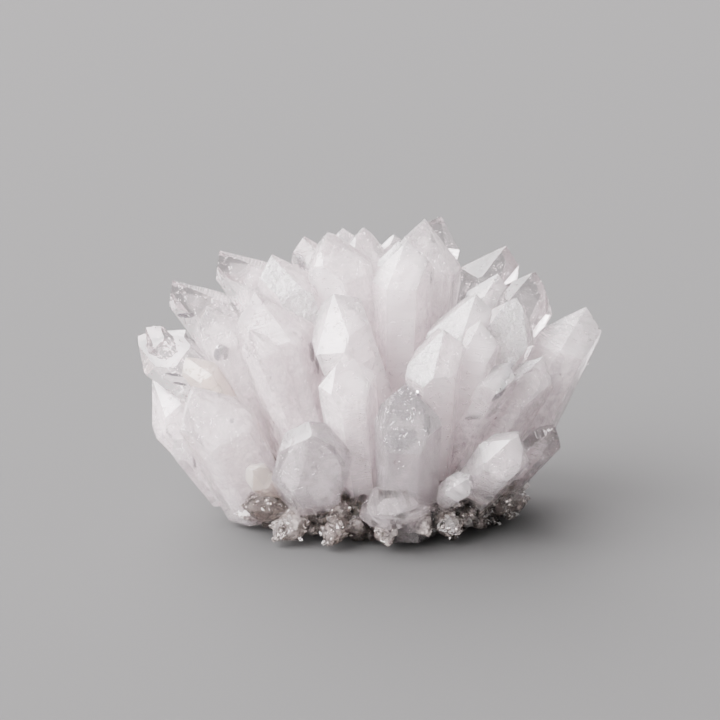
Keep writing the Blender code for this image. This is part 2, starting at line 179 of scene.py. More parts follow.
# %% Table of crystals
# across, up: where the tip is seen, in mm from the middle of the base.
# lean: degrees from upright, to the right.
# width: mm across the flats.
# roll: degrees that a side face is turned from the viewer.
# lead: the way that the largest face of the tip looks, in degrees.
# chisel: how far that face outgrows the others.
# back: mm behind the dome's skin.
# haze: from 0, clear to its core, to 1, white all through.
Point = namedtuple("Point", "name across up lean width roll lead chisel back haze")
SEEN_POINTS = [Point(*row) for row in (
    ("spire", -13, 95, -13, 22, 28, 50, 0.15, -6, 0.95),
    ("crown_middle", -1, 97, 2, 15, 25, 30, 0.10, 8, 0.75),
    ("crown_small", -8, 97, -4, 11, 10, 0, 0.25, 20, 0.45),
    ("crown_left", -21, 94, -16, 15, 0, 60, 0.35, 8, 0.25),
    ("left_shoulder", -50, 89, -34, 21, 20, 70, 0.45, 0, 0.34),
    ("left_blunt", -32, 87, -20, 18, 5, 60, 0.35, -7, 0.95),
    ("left_clear", -66, 79, -34, 19, 20, 70, 0.50, -2, 0.3),
    ("left_inner", -54, 70, -20, 16, 10, 60, 0.35, 0, 0.9),
    ("far_left", -78, 60, -52, 19, 15, 20, 0.35, 0, 0.28),
    ("far_left_step", -75, 63, -46, 9, 0, -60, 0.30, -5, 0.3),
    ("left_beige", -61, 53, -36, 11, 0, 60, 0.30, 0, 0.6),
    ("left_low", -73, 45, -42, 17, 0, -60, 0.50, 3, 0.85),
    ("front_left", -58, 43, -28, 23, 8, 40, 0.30, -2, 0.8),
    ("left_foot", -64, 25, -40, 9, 20, 0, 0.30, 6, 0.5),
    ("left_broad", -37, 75, -17, 25, 0, 80, 0.30, -2, 1.0),
    ("left_slim", -39, 62, -24, 12, 10, 60, 0.30, -2, 0.9),
    ("middle_left", -11, 74, -22, 21, 28, -60, 0.30, -2, 1.0),
    ("front_middle", -7, 54, -8, 18, 5, 0, 0.35, -2, 0.85),
    ("front_clear", 13, 44, 0, 20, -5, 0, 0.45, -3, 0.22),
    ("front_round", -18, 27, 0, 25, 10, 0, 0.70, -4, 0.42),
    ("front_foot", 0, 1, -60, 14, 10, 0, 0.40, -2, 0.36),
    ("foot_beige", -38, 15, -72, 9, 20, 0, 0.30, 6, 0.5),
    ("foot_lying", 34, 12, 75, 9, 20, 0, 0.30, 0, 0.5),
    ("crown_bright", 11, 92, 4, 11, 10, 0, 0.35, 6, 1.0),
    ("crown_right", 14, 92, 1, 19, 0, -30, 0.25, -4, 0.85),
    ("right_spire", 20, 100, 4, 23, 15, 70, 0.35, 2, 0.75),
    ("right_behind", 26, 101, 14, 15, 0, 60, 0.15, 16, 0.06),
    ("right_dark", 48, 91, 22, 18, 10, -50, 0.25, 8, 0.04),
    ("right_inner", 45, 81, 18, 12, 10, -60, 0.30, 0, 0.7),
    ("right_frosted", 37, 74, 12, 20, 20, -60, 0.40, -2, 0.9),
    ("right_kite", 51, 73, 22, 20, 10, 10, 0.40, -2, 0.85),
    ("middle_right", 26, 62, 3, 19, 15, -50, 0.30, -2, 0.9),
    ("middle_shaft", 38, 65, 8, 16, 0, -50, 0.20, -2, 0.9),
    ("right_clear", 58, 82, 25, 18, 10, 0, 0.35, 2, 0.18),
    ("far_right", 75, 70, 24, 23, 20, -60, 0.35, 0, 0.8),
    ("right_low", 60, 53, 30, 20, 0, -60, 0.35, 0, 0.8),
    ("right_streaked", 48, 51, 30, 13, 0, -60, 0.20, -2, 0.6),
    ("right_front", 51, 26, 45, 15, 15, 0, 0.30, -4, 0.5),
    ("right_foot", 64, 29, 45, 11, 20, 0, 0.30, 4, 0.38),
)]
ROOT = (9 * MM, 0.42)
ROOT_OF = {
    "front_round": (20 * MM, 0.30),
    "front_clear": (8 * MM, 0.62),
    "front_middle": (9 * MM, 0.50),
    "front_foot": (13 * MM, 0.45),
    "foot_beige": (17 * MM, 0.60),
}
Row = namedtuple("Row", "name count first last rise reach width")
BACK_ROWS = (
    Row("back_low", 7, 24, 160, 19, 0.94, 19),
    Row("back_middle", 6, 30, 158, 36, 0.98, 20),
    Row("back_upper", 6, 34, 150, 50, 0.98, 19),
    Row("back_high", 5, 40, 138, 64, 0.98, 18),
    Row("back_crown", 3, 62, 118, 76, 0.95, 14),
)
# How uneven the rows are: degrees of azimuth and rise, shares of reach and width, and the chisel's range.
AZIMUTH_SCATTER = 5
RISE_SCATTER = 6
REACH_SPREAD = (0.93, 1.04)
WIDTH_SPREAD = (0.8, 1.15)
CHISEL_SPREAD = (0.1, 0.5)

# %% Place them


def seen_tip(point):
    """Where the line of sight meets the dome, or passes nearest to its middle if it misses."""
    flat = SEEN_ACROSS * point.across * MM + SEEN_UP * point.up * MM
    shrink = Vector((1 / DOME_HALF_WIDTH, 1 / DOME_HALF_DEPTH, 1 / DOME_HEIGHT))
    start, step = flat * shrink, SEEN_TOWARD * shrink
    nearest = -start.dot(step) / step.length_squared
    inside = nearest**2 - (start.length_squared - 1) / step.length_squared
    toward = nearest + math.sqrt(max(inside, 0)) - point.back * MM
    return flat + SEEN_TOWARD * toward


def seen_root(point, tip):
    """The foot of the axis, back along its lean to the top of the plate."""
    height, share = ROOT_OF.get(point.name, ROOT)
    rise = abs(point.up * MM - height)
    across = tip.x - math.tan(math.radians(point.lean)) * rise
    return Vector((across, share * tip.y, height))


def seen_crystals():
    made = []
    for point in SEEN_POINTS:
        tip = seen_tip(point)
        root = seen_root(point, tip)
        made.append(Crystal(point.name, root, tip, point.width * MM, point.roll, point.lead, point.chisel))
    return made


def dome_stretch(heading):
    return math.sqrt(
        (heading.x / DOME_HALF_WIDTH) ** 2
        + (heading.y / DOME_HALF_DEPTH) ** 2
        + (heading.z / DOME_HEIGHT) ** 2
    )


def heading_of(around, rise):
    return Vector((math.cos(around) * math.cos(rise), math.sin(around) * math.cos(rise), math.sin(rise)))


def back_crystals():
    made = []
    for row in BACK_ROWS:
        grain = random.Random(row.name)
        for k in range(row.count):
            share = k / (row.count - 1)
            azimuth = row.first + (row.last - row.first) * share
            around = math.radians(azimuth + grain.uniform(-AZIMUTH_SCATTER, AZIMUTH_SCATTER))
            rise = math.radians(row.rise + grain.uniform(-RISE_SCATTER, RISE_SCATTER))
            heading = heading_of(around, rise)
            reach = row.reach * grain.uniform(*REACH_SPREAD)
            tip = heading * reach / dome_stretch(heading)
            root = Vector((ROOT[1] * tip.x, ROOT[1] * tip.y, ROOT[0]))
            width = row.width * grain.uniform(*WIDTH_SPREAD) * MM
            roll, lead = grain.uniform(0, 360 / SIDES), grain.uniform(0, 360)
            name = f"{row.name}_{k + 1}"
            made.append(Crystal(name, root, tip, width, roll, lead, grain.uniform(*CHISEL_SPREAD)))
    return made


def centring(made, packed_low):
    """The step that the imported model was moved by, to stand with its middle on the origin."""
    corners = [corner for crystal in made for corner in crystal.corners()]
    low_x = min(corner.x for corner in corners)
    low_y = min(corner.y for corner in corners)
    return Vector((packed_low[0] - low_x, packed_low[1] - low_y, 0))


crystals = seen_crystals() + back_crystals()
OFFSET = centring(crystals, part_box("crystal_cluster")[0])
print(len(crystals), "crystals, moved by mm", [round(value / MM, 2) for value in OFFSET])

# %% [markdown]
# ## The camera
# The photograph was taken from a little above the horizon with a long lens, so the camera stands back and
# has a narrow view. The cluster's own scale in the picture sets how far away it is.

# %% Camera
PICTURE_PIXELS = 720
MM_PER_PIXEL = 160 / 466
CAMERA_LENS = 300
SENSOR_WIDTH = 36
BASE_PIXEL = (366, 511)

focal_pixels = CAMERA_LENS / SENSOR_WIDTH * PICTURE_PIXELS
camera_distance = focal_pixels * MM_PER_PIXEL * MM
pixels_up = BASE_PIXEL[1] - PICTURE_PIXELS / 2
pixels_right = PICTURE_PIXELS / 2 - BASE_PIXEL[0]
aim = OFFSET + (SEEN_UP * pixels_up + SEEN_ACROSS * pixels_right) * MM_PER_PIXEL * MM
EYE = aim + SEEN_TOWARD * camera_distance

camera = bpy.data.objects.new("camera", bpy.data.cameras.new("camera"))
bpy.context.scene.collection.objects.link(camera)
camera.data.lens = CAMERA_LENS
camera.data.sensor_width = SENSOR_WIDTH
camera.location = EYE
camera.rotation_euler = SEEN_TOWARD.to_track_quat("Z", "Y").to_euler()
bpy.context.scene.camera = camera
print("camera stands", round(camera_distance, 2), "m away")

# %% [markdown]
# ## What each crystal is like
# No two crystals are equally milky. The haze of those that the photograph shows is in the table above, and
# the far side's is drawn at random. A crystal with little haze is clear. A few are beige or smoky, and a few
# have a frosted face, which is given by the way that it looks.

# %% Haze and kinds
HAZE = {point.name: point.haze for point in SEEN_POINTS}
FAR_HAZE = (0.25, 1.0)
CLEAR_BELOW = 0.42
BEIGE = {"left_beige", "foot_beige", "back_low_3", "back_middle_5"}
SMOKY = {"front_clear", "front_round"}
FROSTED = {
    "right_frosted": Vector((-0.3, -0.6, 0.7)),
    "right_kite": Vector((-0.1, -0.9, 0.4)),
    "middle_right": Vector((-0.5, -0.6, 0.6)),
    "right_low": Vector((-0.3, -0.4, 0.8)),
    "left_blunt": Vector((0.2, -0.9, 0.3)),
    "crown_bright": Vector((-0.3, -0.8, 0.5)),
    "back_upper_3": Vector((0.3, 0.6, 0.7)),
    "back_middle_2": Vector((0.6, 0.5, 0.6)),
}


def haze_of(crystal):
    return HAZE.get(crystal.name, random.Random(crystal.name + " haze").uniform(*FAR_HAZE))


def kind_of(crystal):
    if crystal.name in SMOKY:
        return "smoky"
    if crystal.name in BEIGE:
        return "beige"
    return "clear" if haze_of(crystal) < CLEAR_BELOW else "milky"


def own_number(crystal):
    """A number from 0 to 1 that is the crystal's own, to make its clouds unlike its neighbours'."""
    return random.Random(crystal.name + " cloud").random()


KINDS = ("milky", "clear", "beige", "smoky")
for kind in KINDS:
    print(kind, sum(kind_of(crystal) == kind for crystal in crystals), "crystals")

# %% [markdown]
# ## Node groups
# Effects that several materials share are node groups. "milk" is a cloud mask in three dimensions. It reads
# three values stored on the mesh: how far a corner lies towards the tip, its crystal's haze, and its
# crystal's own number. "etched" is the surface of a natural face, with fine lines across the crystal's axis,
# shallow etching between them and small pits. "tint" is a slow drift of colour.

# %% Node helpers


class Tree:
    """A node tree, with short ways to add the nodes that are used here."""

    def __init__(self, tree):
        self.nodes = tree.nodes
        self.links = tree.links

    def feed(self, socket, source):
        """Puts a number on a socket, or links another node's output to it."""
        if isinstance(source, (int, float)):
            socket.default_value = source
        else:
            self.links.new(source, socket)

    def place(self):
        return self.nodes.new("ShaderNodeTexCoord").outputs["Object"]

    def stored(self, name):
        """A value that is kept on the mesh."""
        node = self.nodes.new("ShaderNodeAttribute")
        node.attribute_name = name
        return node.outputs["Fac"]

    def math(self, operation, first, second):
        node = self.nodes.new("ShaderNodeMath")
        node.operation = operation
        self.feed(node.inputs[0], first)
        self.feed(node.inputs[1], second)
        return node.outputs[0]

    def noise(self, place, scale, detail, roughness=0.55):
        node = self.nodes.new("ShaderNodeTexNoise")
        node.inputs["Detail"].default_value = detail
        node.inputs["Roughness"].default_value = roughness
        self.links.new(place, node.inputs["Vector"])
        self.feed(node.inputs["Scale"], scale)
        return node.outputs["Fac"]

    def spread(self, value, low, high, start, end):
        """A Map Range node with a soft S-shaped ramp."""
        node = self.nodes.new("ShaderNodeMapRange")
        node.interpolation_type = "SMOOTHSTEP"
        self.links.new(value, node.inputs["Value"])
        for label, source in (("From Min", low), ("From Max", high), ("To Min", start), ("To Max", end)):
            self.feed(node.inputs[label], source)
        return node.outputs["Result"]

    def bump(self, height, distance):
        node = self.nodes.new("ShaderNodeBump")
        self.feed(node.inputs["Distance"], distance)
        self.links.new(height, node.inputs["Height"])
        return node.outputs["Normal"]

    def group(self, group, values):
        """A node group with its own values, and its one output."""
        node = self.nodes.new("ShaderNodeGroup")
        node.node_tree = group
        set_plain(node, values)
        return node.outputs[0]


def set_plain(node, values):
    """Sets numbers and colours that are the same all over the surface."""
    for label, value in values.items():
        node.inputs[label].default_value = value


def new_group(name, inputs, output, kind):
    """A new group with one output, its tree, its inputs in there, and the node that takes the result."""
    group = bpy.data.node_groups.new(name, "ShaderNodeTree")
    for label, value in inputs.items():
        input_kind = "NodeSocketColor" if isinstance(value, tuple) else "NodeSocketFloat"
        group.interface.new_socket(label, in_out="INPUT", socket_type=input_kind).default_value = value
    group.interface.new_socket(output, in_out="OUTPUT", socket_type=kind)
    start = group.nodes.new("NodeGroupInput")
    return group, Tree(group), start.outputs, group.nodes.new("NodeGroupOutput")


# %% The milk group
OWN_SHIFT = 3.0
WISPS_FINER = 5.0
WISP_EDGE = (0.38, 0.64)
FADE_FROM = 0.45


def milk_group():
    inputs = {
        "Scale": 60.0, "Low": 0.4, "High": 0.7, "Thin": 0.1, "Dense": 0.9, "Tip fade": 0.5, "Wisps": 0.4,
    }
    group, tree, given, end = new_group("milk", inputs, "Mask", "NodeSocketFloat")
    moved = tree.nodes.new("ShaderNodeVectorMath")
    tree.links.new(tree.place(), moved.inputs[0])
    tree.links.new(tree.math("MULTIPLY", tree.stored("own"), OWN_SHIFT), moved.inputs[1])
    billows = tree.noise(moved.outputs[0], given["Scale"], 4)
    wisps = tree.noise(moved.outputs[0], tree.math("MULTIPLY", given["Scale"], WISPS_FINER), 3, 0.5)
    cloud = tree.spread(billows, given["Low"], given["High"], given["Thin"], given["Dense"])
    gone = tree.math("MULTIPLY", tree.spread(wisps, *WISP_EDGE, 0.0, 1.0), given["Wisps"])
    faded_end = tree.math("SUBTRACT", 1.0, given["Tip fade"])
    fade = tree.spread(tree.stored("to_tip"), FADE_FROM, 1.0, 1.0, faded_end)
    mask = tree.math("MULTIPLY", cloud, tree.math("SUBTRACT", 1.0, gone))
    mask = tree.math("MULTIPLY", mask, fade)
    mask = tree.math("MULTIPLY", mask, tree.stored("haze"))
    tree.links.new(mask, end.inputs["Mask"])
    return group


# %% The etched and tint groups
PIT_EDGE = (0.60, 0.68)
TINT_RAMP = (0.25, 0.75)


def etched_group():
    inputs = {
        "Lines": 0.4, "Line scale": 1500.0, "Etching": 0.3, "Etch scale": 260.0,
        "Pits": 0.5, "Pit scale": 480.0, "Depth": 0.1 * MM,
    }
    group, tree, given, end = new_group("etched", inputs, "Normal", "NodeSocketVector")
    place = tree.place()
    lines = tree.nodes.new("ShaderNodeTexNoise")
    lines.noise_dimensions = "1D"
    set_plain(lines, {"Detail": 2, "Scale": 1.0})
    tree.links.new(tree.math("MULTIPLY", tree.stored("height"), given["Line scale"]), lines.inputs["W"])
    etching = tree.noise(place, given["Etch scale"], 3)
    pits = tree.spread(tree.noise(place, given["Pit scale"], 2), *PIT_EDGE, 0.0, 1.0)
    raised_lines = tree.math("MULTIPLY", lines.outputs["Fac"], given["Lines"])
    raised_etching = tree.math("MULTIPLY", etching, given["Etching"])
    raised = tree.math("ADD", raised_lines, raised_etching)
    height = tree.math("SUBTRACT", raised, tree.math("MULTIPLY", pits, given["Pits"]))
    tree.links.new(tree.bump(height, given["Depth"]), end.inputs["Normal"])
    return group


def tint_group():
    """Drifts between two colours, slowly over the surface and from crystal to crystal."""
    inputs = {"Scale": 40.0, "First": (1.0, 1.0, 1.0, 1.0), "Second": (1.0, 1.0, 1.0, 1.0)}
    group, tree, given, end = new_group("tint", inputs, "Color", "NodeSocketColor")
    drift = tree.noise(tree.place(), given["Scale"], 3)
    own_drift = tree.math("SUBTRACT", tree.stored("own"), 0.5)
    mix = tree.nodes.new("ShaderNodeMix")
    mix.data_type = "RGBA"
    tree.links.new(tree.spread(tree.math("ADD", drift, own_drift), *TINT_RAMP, 0.0, 1.0), mix.inputs[0])
    tree.links.new(given["First"], mix.inputs[6])
    tree.links.new(given["Second"], mix.inputs[7])
    tree.links.new(mix.outputs[2], end.inputs["Color"])
    return group


MILK = milk_group()
ETCHED = etched_group()
TINT = tint_group()
print("node groups", [group.name for group in (MILK, ETCHED, TINT)])

# %% [markdown]
# ## The quartz materials
# The skin is clear glass with quartz's own index of refraction. A share of it is subsurface scattering, which
# stands for the haze right under the faces, and its volume takes a little light from what crosses it. The
# clouds are matt, and the milk mask is their opacity, so thin places show what lies deeper.

# %% Quartz materials
QUARTZ_IOR = 1.544
SKIN_SCATTER = 2.5 * MM
SCATTER_SHARES = (1.0, 0.95, 1.0)
WHITE = (0.98, 0.928, 0.940)
SHADE = (0.87, 0.820, 0.832)
GAP_LIGHT = (0.98, 0.96, 0.97)
GAP_DARK = (0.30, 0.29, 0.31)
SKIN_TINT_SCALE = 40.0
CLOUD_TINT_SCALE = 120.0
GAP_TINT_SCALE = 400.0


def new_material(name):
    """A new material, its node tree and its shader."""
    made = bpy.data.materials.new(name)
    made.use_nodes = True
    return made, Tree(made.node_tree), made.node_tree.nodes["Principled BSDF"]


def tinted(tree, shader, first, second, scale=SKIN_TINT_SCALE):
    tint = tree.group(TINT, {"Scale": scale, "First": (*first, 1), "Second": (*second, 1)})
    tree.links.new(tint, shader.inputs["Base Color"])


def quartz_material(name, colours, roughness, transmission, surface, murk):
    """murk is the colour and the density of the volume's absorption."""
    made, tree, shader = new_material(name)
    tinted(tree, shader, *colours)
    set_plain(shader, {"Roughness": roughness, "IOR": QUARTZ_IOR, "Transmission Weight": transmission})
    if transmission < 1.0:
        set_plain(shader, {"Subsurface Weight": 1.0, "Subsurface Scale": SKIN_SCATTER})
        set_plain(shader, {"Subsurface Radius": SCATTER_SHARES})
    tree.links.new(tree.group(ETCHED, surface), shader.inputs["Normal"])
    absorption = tree.nodes.new("ShaderNodeVolumeAbsorption")
    set_plain(absorption, {"Color": (*murk[0], 1), "Density": murk[1]})
    tree.links.new(absorption.outputs["Volume"], tree.nodes["Material Output"].inputs["Volume"])
    return made


def cloud_material(name, colours, mask):
    made, tree, shader = new_material(name)
    tinted(tree, shader, *colours, scale=CLOUD_TINT_SCALE)
    set_plain(shader, {"Roughness": 0.9, "Specular IOR Level": 0.0})
    tree.links.new(tree.group(MILK, mask), shader.inputs["Alpha"])
    return made


def gap_material():
    """A thin gap in quartz throws back all the light that meets it at a slant, so it shines like silver."""
    made, tree, shader = new_material("gap")
    tinted(tree, shader, GAP_LIGHT, GAP_DARK, scale=GAP_TINT_SCALE)
    set_plain(shader, {"Metallic": 1.0, "Roughness": 0.16})
    return made


# %% The finishes
FACE = {"Lines": 0.6, "Etching": 0.6, "Pits": 1.0, "Depth": 0.20 * MM}
FROST = {
    "Lines": 0.0, "Etching": 1.0, "Etch scale": 520.0, "Pits": 0.8, "Pit scale": 700.0, "Depth": 5.0 * MM,
}
BEIGE_COLOURS = ((0.88, 0.81, 0.73), (0.86, 0.80, 0.75))
SMOKY_COLOURS = ((0.78, 0.75, 0.76), (0.68, 0.65, 0.66))
DRUSE_COLOURS = ((0.86, 0.83, 0.82), (0.74, 0.70, 0.68))
PALE_MURK = ((0.90, 0.87, 0.87), 2)
BEIGE_MURK = ((0.86, 0.78, 0.68), 30)
SMOKY_MURK = ((0.80, 0.78, 0.79), 35)
DRUSE_MURK = ((0.70, 0.65, 0.62), 130)
# Of each kind of quartz: its colours, roughness, transmission, surface and murk.
SKINS = {kind: quartz_material(f"quartz_{kind}", *finish) for kind, finish in {
    "milky": ((WHITE, SHADE), 0.03, 0.888, FACE, PALE_MURK),
    "clear": ((WHITE, WHITE), 0.02, 1.0, FACE, PALE_MURK),
    "beige": (BEIGE_COLOURS, 0.05, 0.84, FACE, BEIGE_MURK),
    "smoky": (SMOKY_COLOURS, 0.03, 0.94, FACE, SMOKY_MURK),
    "druse": (DRUSE_COLOURS, 0.03, 1.0, FACE, DRUSE_MURK),
    "frosted": ((WHITE, WHITE), 0.14, 0.72, FROST, PALE_MURK),
}.items()}
MASK_LABELS = ("Scale", "Low", "High", "Thin", "Dense", "Tip fade", "Wisps")
# Of each cloud: its colours, and the values of its mask.
CLOUDS = {name: cloud_material(name, colours, dict(zip(MASK_LABELS, mask))) for name, (colours, mask) in {
    "cloud_outer": ((WHITE, WHITE), (90, 0.42, 0.60, 0.04, 0.85, 0.5, 0.8)),
    "cloud_core": ((WHITE, SHADE), (60, 0.32, 0.52, 0.4, 1.0, 0.4, 0.5)),
    "cloud_druse": (((0.66, 0.61, 0.59), (0.44, 0.39, 0.37)), (160, 0.35, 0.60, 0.1, 0.8, 0.4, 0.6)),
    "veil": ((WHITE, WHITE), (220, 0.38, 0.55, 0.0, 1.0, 0.0, 0.9)),
    # smoke: a dark cloud that paints shade into clear quartz, for the shadowed slots between crystals and the
    # dark surroundings seen through them
    "smoke": (((0.16, 0.15, 0.16), (0.05, 0.048, 0.052)), (330, 0.34, 0.50, 0.0, 0.95, 0.0, 0.6)),
}.items()}
GAP = gap_material()
print(len(SKINS), "kinds of quartz and", len(CLOUDS), "kinds of cloud")

# %% [markdown]
# ## The skin of the cluster
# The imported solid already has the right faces, as triangles, and the skin is a copy of it. Each triangle
# takes the material of the crystal whose plane it lies in, and stores that crystal's values for the node
# groups. Real quartz grows in sectors, one under each face, so each face also has a shade of its own. A
# narrow bevel then gives the edges the fine bright line that real edges have. Only long edges between two
# faces of one crystal get it, because the short ones where crystals meet would tear.

# %% Skin helpers
PLANE_MISS = 0.05 * MM
SAME_WAY = 0.98
FROST_AGREE = 0.80
SECTOR_SHARE = 0.6


def new_piece(bm, name):
    mesh = bpy.data.meshes.new(name)
    bm.to_mesh(mesh)
    bm.free()
    made = bpy.data.objects.new(name, mesh)
    bpy.context.scene.collection.objects.link(made)
    return made


def kept_piece(bm, name, finishes, shift=OFFSET):
    """A piece of the model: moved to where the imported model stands, with its finishes."""
    bmesh.ops.translate(bm, vec=shift, verts=bm.verts)
    piece = new_piece(bm, name)
    for finish in finishes:
        piece.data.materials.append(finish)
    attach(piece, "root")
    print(name, len(piece.data.polygons), "faces")
    return piece


def owner_of(face, planes):
    """The crystal whose plane holds every corner of the face, and which of its planes that is."""
    best, best_miss = None, PLANE_MISS
    for number, crystal_planes in enumerate(planes):
        for side, (point, normal) in enumerate(crystal_planes):
            if normal.dot(face.normal) < SAME_WAY:
                continue
            miss = max(abs((corner.co - point).dot(normal)) for corner in face.verts)
            if miss < best_miss:
                best, best_miss = (crystals[number], side), miss
    return best


def skin_kind(crystal, normal):
    frosted = FROSTED.get(crystal.name)
    if frosted and normal.dot(frosted.normalized()) > FROST_AGREE:
        return "frosted"
    return kind_of(crystal)


def number_layers(layers, *names):
    """New number layers. They are fetched once all are made, because each new one moves the others."""
    for name in names:
        layers.float.new(name)
    return [layers.float.get(name) for name in names]


def sector_number(crystal, side):
    return random.Random(f"{crystal.name} side {side}").random()


def store_values(bm, owners):
    """Keeps each crystal's values on the corners of its faces."""
    height, own = number_layers(bm.loops.layers, "height", "own")
    for face in bm.faces:
        crystal, side = owners[face]
        shade = own_number(crystal) * (1 - SECTOR_SHARE) + sector_number(crystal, side) * SECTOR_SHARE
        for corner in face.loops:
            corner[height] = (corner.vert.co - crystal.root).dot(crystal.axis)
            corner[own] = shade


# %% Skin
EDGE_WIDTH = 0.28 * MM
BEND_OF_EDGE = 0.2
LONG_EDGE = 2.5 * MM
SKIN_KINDS = ("milky", "clear", "beige", "smoky", "frosted")


def whole_skin():
    bm = bmesh.new()
    bm.from_mesh(CLUSTER.data)
    bmesh.ops.translate(bm, vec=-OFFSET, verts=bm.verts)
    bmesh.ops.remove_doubles(bm, verts=bm.verts, dist=SAME_PLACE)
    planes = [crystal.planes() for crystal in crystals]
    owners = {}
    for face in bm.faces:
        owner = owner_of(face, planes)
        owners[face] = owner or (crystals[0], 0)
        kind = skin_kind(owner[0], face.normal) if owner else "milky"
        face.material_index = SKIN_KINDS.index(kind)
    store_values(bm, owners)
    return bm, owners


def own_edges(bm, owners):
    """The long outer edges between two faces of the same crystal."""
    for edge in bm.edges:
        if len(edge.link_faces) != 2 or edge.calc_length() < LONG_EDGE:
            continue
        first, second = edge.link_faces
        same_crystal = owners[first][0] is owners[second][0]
        if same_crystal and edge.is_convex and edge.calc_face_angle() > BEND_OF_EDGE:
            yield edge


skin_bm, skin_owners = whole_skin()
sharp = list(own_edges(skin_bm, skin_owners))
bmesh.ops.bevel(skin_bm, geom=sharp, offset=EDGE_WIDTH, segments=1, affect="EDGES", clamp_overlap=True)
print(len(sharp), "edges bevelled")
skin = kept_piece(skin_bm, "quartz_crystals", [SKINS[kind] for kind in SKIN_KINDS])
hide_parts("crystal_cluster")

# %% [markdown]
# ## Growth hillocks
# Natural faces aren't perfectly flat: low growth hillocks stand on them, and each one flashes on its own when
# the light is right. They are very flat lenses with a few corners, strewn over the faces of the skin and half
# sunk into them.

# %% Flat lenses
RIM_REACH = (0.55, 1.0)
SHORTEST_DRAW = 0.1


def any_way(grain):
    """A unit vector that points any way."""
    while True:
        way = Vector(grain.uniform(-1, 1) for _ in range(3))
        if SHORTEST_DRAW < way.length < 1:
            return way.normalized()


def add_lens(bm, place, normal, radius, thickness, corners, grain, bend=0.0):
    """A thin closed lens with an uneven rim; bend curls it, as a share of its radius."""
    across = normal.orthogonal().normalized()
    along = normal.cross(across)
    start = grain.uniform(0, math.tau)
    rim = []
    for k in range(corners):
        angle = start + math.tau * k / corners
        reach = radius * grain.uniform(*RIM_REACH)
        curl = normal * bend * radius * math.cos(2 * angle)
        rim.append(bm.verts.new(place + (across * math.cos(angle) + along * math.sin(angle)) * reach + curl))
    upper = bm.verts.new(place + normal * thickness)
    lower = bm.verts.new(place - normal * thickness)
    for k, vert in enumerate(rim):
        following = rim[(k + 1) % corners]
        bm.faces.new((vert, following, upper))
        bm.faces.new((following, vert, lower))


# %% Hillocks
HILLOCK_COUNT = 1500
HILLOCK_SIZE = (0.35 * MM, 1.5 * MM)
HILLOCK_HEIGHT = 0.10
MORE_LARGE_ONES = 0.5
HILLOCK_TILT = 0.05
HILLOCK_CLEARANCE = 0.5 * MM
SMALLEST_FACE = 4 * MM * MM
FACE_MARGIN = 0.12


def place_on(face, grain):
    """A random place on a triangle, a little away from its edges."""
    first, second, third = (vert.co for vert in face.verts)
    a, b = grain.uniform(FACE_MARGIN, 1), grain.uniform(FACE_MARGIN, 1)
    if a + b > 1:
        a, b = 1 - a, 1 - b
    return first + (second - first) * a + (third - first) * b


def hillocks_on(piece):
    grain = random.Random("hillocks")
    source = bmesh.new()
    source.from_mesh(piece.data)
    bmesh.ops.triangulate(source, faces=source.faces)
    faces = [face for face in source.faces if face.calc_area() > SMALLEST_FACE]
    areas = [face.calc_area() for face in faces]
    made = bmesh.new()
    for face in grain.choices(faces, areas, k=HILLOCK_COUNT):
        size = grain.uniform(*HILLOCK_SIZE) * grain.random() ** MORE_LARGE_ONES
        tilted = (face.normal + any_way(grain) * HILLOCK_TILT).normalized()
        place, corners = place_on(face, grain), grain.choice((3, 4, 5, 6))
        if place.z > HILLOCK_CLEARANCE + size:
            add_lens(made, place, tilted, size, size * HILLOCK_HEIGHT, corners, grain)
    source.free()
    bmesh.ops.recalc_face_normals(made, faces=made.faces)
    return made


kept_piece(hillocks_on(skin), "growth_hillocks", [SKINS["clear"]], shift=Vector())

# %% [markdown]
# ## The milk inside
# Each crystal holds closed sheets nested in it, each a little smaller than the last. Seen one behind the
# other they read as cloud with depth, and because they follow the faces they look like the growth zones of
# real quartz. A clear crystal has only its deeper sheets.

# %% Clouds
CLOUD_INSETS = {"outer": 1.5 * MM, "core": 4.0 * MM}
CLOUD_LAYERS = {
    "milky": ("outer", "core"),
    "clear": ("core",),
    "beige": ("outer", "core"),
    "smoky": ("outer", "core"),
}
WIDEST_INSET = 0.40
CLOUD_GRAIN = 8 * MM


def cut_finer(bm, grain):
    """Splits long edges, so that a stored value can change along the crystal."""
    bmesh.ops.triangulate(bm, faces=bm.faces)
    for _ in range(2):
        long_edges = [edge for edge in bm.edges if edge.calc_length() > grain]
        bmesh.ops.subdivide_edges(bm, edges=long_edges, cuts=1)
        bmesh.ops.triangulate(bm, faces=[face for face in bm.faces if len(face.verts) > 3])


def store_cloud_values(bm, crystal, haze):
    to_tip, own, hazy = number_layers(bm.verts.layers, "to_tip", "own", "haze")
    for vert in bm.verts:
        vert[to_tip] = min(1.0, max(0.0, crystal.share(vert.co)))
        vert[own] = own_number(crystal)
        vert[hazy] = haze


def add_into(whole, bm):
    """Adds one shape to a growing mesh."""
    mesh = bpy.data.meshes.new("part")
    bm.to_mesh(mesh)
    bm.free()
    whole.from_mesh(mesh)
    bpy.data.meshes.remove(mesh)


def clouds_of(layer):
    whole = bmesh.new()
    inset = CLOUD_INSETS[layer]
    for crystal in crystals:
        if layer not in CLOUD_LAYERS[kind_of(crystal)] or inset > WIDEST_INSET * crystal.width:
            continue
        shape = crystal.solid(-inset)
        cut_finer(shape, CLOUD_GRAIN)
        store_cloud_values(shape, crystal, haze_of(crystal))
        add_into(whole, shape)
    return whole


for layer in CLOUD_INSETS:
    kept_piece(clouds_of(layer), f"milk_{layer}", [CLOUDS[f"cloud_{layer}"]])
